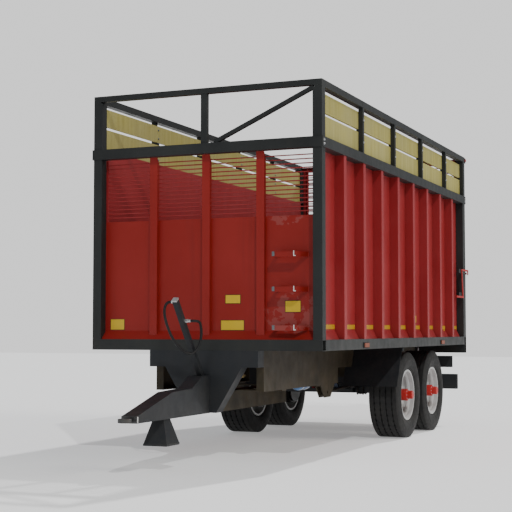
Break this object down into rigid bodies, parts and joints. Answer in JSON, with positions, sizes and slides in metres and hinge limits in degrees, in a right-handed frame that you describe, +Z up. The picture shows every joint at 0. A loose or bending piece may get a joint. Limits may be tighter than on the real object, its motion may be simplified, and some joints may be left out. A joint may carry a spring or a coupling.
{
  "type": "grain trailer",
  "caption": "Tandem-axle tipping grain trailer: tall ribbed load box with top boards, drawbar with tow eye, top-hung rear door with side latches, telescopic ram and parking stand.",
  "frame": {"origin": "centre of the whole trailer's bounding box at ground level, under the tyres", "axes": "+Z up; -Y forwards, towards the tow eye; +X the trailer's left when facing forwards"},
  "size_m": [2.6, 7.749, 3.763],
  "materials": {
    "chassis_paint": "dark grey gloss paint",
    "cast_fitting": "bare worn forging",
    "bright_metal": "zinc plated",
    "hose_rubber": "smooth black rubber",
    "spring_steel": "dark oiled steel",
    "brake_paint": "blue-grey paint",
    "flap_rubber": "matt black sheet",
    "red_lens": "clear red lens",
    "frame_paint": "dark grey gloss paint",
    "body_paint": "red gloss paint",
    "board_timber": "weathered boards",
    "amber_lens": "clear amber lens",
    "yellow_tape": "reflective strip",
    "ram_chrome": "polished",
    "tyre_rubber": "road worn",
    "wheel_paint": "light grey paint",
    "hub_paint": "red paint"
  },
  "bodies": {
    "chassis": {"main_rails": "chassis_paint", "crossmembers": "chassis_paint", "front_bulkhead": "chassis_paint", "drawbar": "chassis_paint", "tow_eye": "cast_fitting", "hose_post": "chassis_paint", "hose_fittings": "bright_metal", "hydraulic_hose": "hose_rubber", "spring_hangers": "chassis_paint", "leaf_springs": "spring_steel", "axle_clamps": "spring_steel", "axles": "chassis_paint", "brake_chambers": "brake_paint", "mudflaps": "flap_rubber", "flap_arms": "chassis_paint", "rear_bars": "chassis_paint", "rear_lamps": "red_lens", "tip_pins": "bright_metal", "ram_cradle": "chassis_paint"},
    "load_body": {"sills": "frame_paint", "floor": "body_paint", "floor_bearers": "frame_paint", "front_panel": "body_paint", "headboard_posts": "body_paint", "headboard_grille": "body_paint", "left_side_panel": "body_paint", "right_side_panel": "body_paint", "corner_posts": "frame_paint", "mid_rails": "frame_paint", "top_rails": "frame_paint", "upper_posts": "frame_paint", "side_boards": "board_timber", "board_bolts": "bright_metal", "steps": "body_paint", "marker_lights": "amber_lens", "reflectors": "yellow_tape", "body_brackets": "frame_paint"},
    "rear_door": {"door_frame": "body_paint", "door_sheet": "body_paint", "door_grille": "body_paint"},
    "left_latch_lever": {"left_latch": "frame_paint"},
    "right_latch_lever": {"right_latch": "frame_paint"},
    "parking_stand": {"stand_leg": "chassis_paint"},
    "tipping_ram": {"ram_barrel": "body_paint"},
    "tipping_ram_stage_1": {"ram_stage_1": "ram_chrome"},
    "tipping_ram_stage_2": {"ram_stage_2": "ram_chrome"},
    "tipping_ram_stage_3": {"ram_stage_3": "ram_chrome"},
    "tipping_ram_stage_4": {"ram_stage_4": "ram_chrome"},
    "left_front_wheel": {"left_front_tyre": "tyre_rubber", "left_front_rim": "wheel_paint", "left_front_hub": "hub_paint"},
    "left_rear_wheel": {"left_rear_tyre": "tyre_rubber", "left_rear_rim": "wheel_paint", "left_rear_hub": "hub_paint"},
    "right_front_wheel": {"right_front_tyre": "tyre_rubber", "right_front_rim": "wheel_paint", "right_front_hub": "hub_paint"},
    "right_rear_wheel": {"right_rear_tyre": "tyre_rubber", "right_rear_rim": "wheel_paint", "right_rear_hub": "hub_paint"}
  },
  "joints": [
    {"name": "body_tip", "type": "hinge", "parent": "chassis", "child": "load_body", "pos_m": [0, 3.5895, 1.02], "axis": [-1, 0, 0], "range_deg": [0, 40]},
    {"name": "door_swing", "type": "hinge", "parent": "load_body", "child": "rear_door", "pos_m": [0, 3.8195, 3.72], "axis": [1, 0, 0], "range_deg": [0, 85]},
    {"name": "left_latch_turn", "type": "hinge", "parent": "load_body", "child": "left_latch_lever", "pos_m": [1.29, 3.5095, 2.125], "axis": [1, 0, 0], "range_deg": [0, 38]},
    {"name": "right_latch_turn", "type": "hinge", "parent": "load_body", "child": "right_latch_lever", "pos_m": [-1.29, 3.5095, 2.125], "axis": [1, 0, 0], "range_deg": [0, 38]},
    {"name": "stand_slide", "type": "slide", "parent": "chassis", "child": "parking_stand", "axis": [0, 0, 1], "range_m": [-0.13, 0]},
    {"name": "ram_swing", "type": "hinge", "parent": "chassis", "child": "tipping_ram", "pos_m": [0, 1.02259, 0.585], "axis": [-1, 0, 0], "range_deg": [0, 20]},
    {"name": "ram_stage_1_slide", "type": "slide", "parent": "tipping_ram", "child": "tipping_ram_stage_1", "axis": [0, -0.058, 0.9983], "range_m": [0, 0.43393]},
    {"name": "ram_stage_2_slide", "type": "slide", "parent": "tipping_ram_stage_1", "child": "tipping_ram_stage_2", "axis": [0, -0.058, 0.9983], "range_m": [0, 0.43393]},
    {"name": "ram_stage_3_slide", "type": "slide", "parent": "tipping_ram_stage_2", "child": "tipping_ram_stage_3", "axis": [0, -0.058, 0.9983], "range_m": [0, 0.43393]},
    {"name": "ram_stage_4_slide", "type": "slide", "parent": "tipping_ram_stage_3", "child": "tipping_ram_stage_4", "axis": [0, -0.058, 0.9983], "range_m": [0, 0.43393]},
    {"name": "left_front_wheel_spin", "type": "hinge", "parent": "chassis", "child": "left_front_wheel", "pos_m": [0.9865, 1.2065, 0.518], "axis": [1, 0, 0], "continuous": true},
    {"name": "left_rear_wheel_spin", "type": "hinge", "parent": "chassis", "child": "left_rear_wheel", "pos_m": [0.9865, 2.3745, 0.518], "axis": [1, 0, 0], "continuous": true},
    {"name": "right_front_wheel_spin", "type": "hinge", "parent": "chassis", "child": "right_front_wheel", "pos_m": [-0.9865, 1.2065, 0.518], "axis": [1, 0, 0], "continuous": true},
    {"name": "right_rear_wheel_spin", "type": "hinge", "parent": "chassis", "child": "right_rear_wheel", "pos_m": [-0.9865, 2.3745, 0.518], "axis": [1, 0, 0], "continuous": true}
  ],
  "couplings": [
    {"joint": "ram_swing", "follows": "body_tip", "ratio": 0.5},
    {"joint": "ram_stage_1_slide", "follows": "body_tip", "m_per_rad": 0.62156},
    {"joint": "ram_stage_2_slide", "follows": "body_tip", "m_per_rad": 0.62156},
    {"joint": "ram_stage_3_slide", "follows": "body_tip", "m_per_rad": 0.62156},
    {"joint": "ram_stage_4_slide", "follows": "body_tip", "m_per_rad": 0.62156}
  ]
}
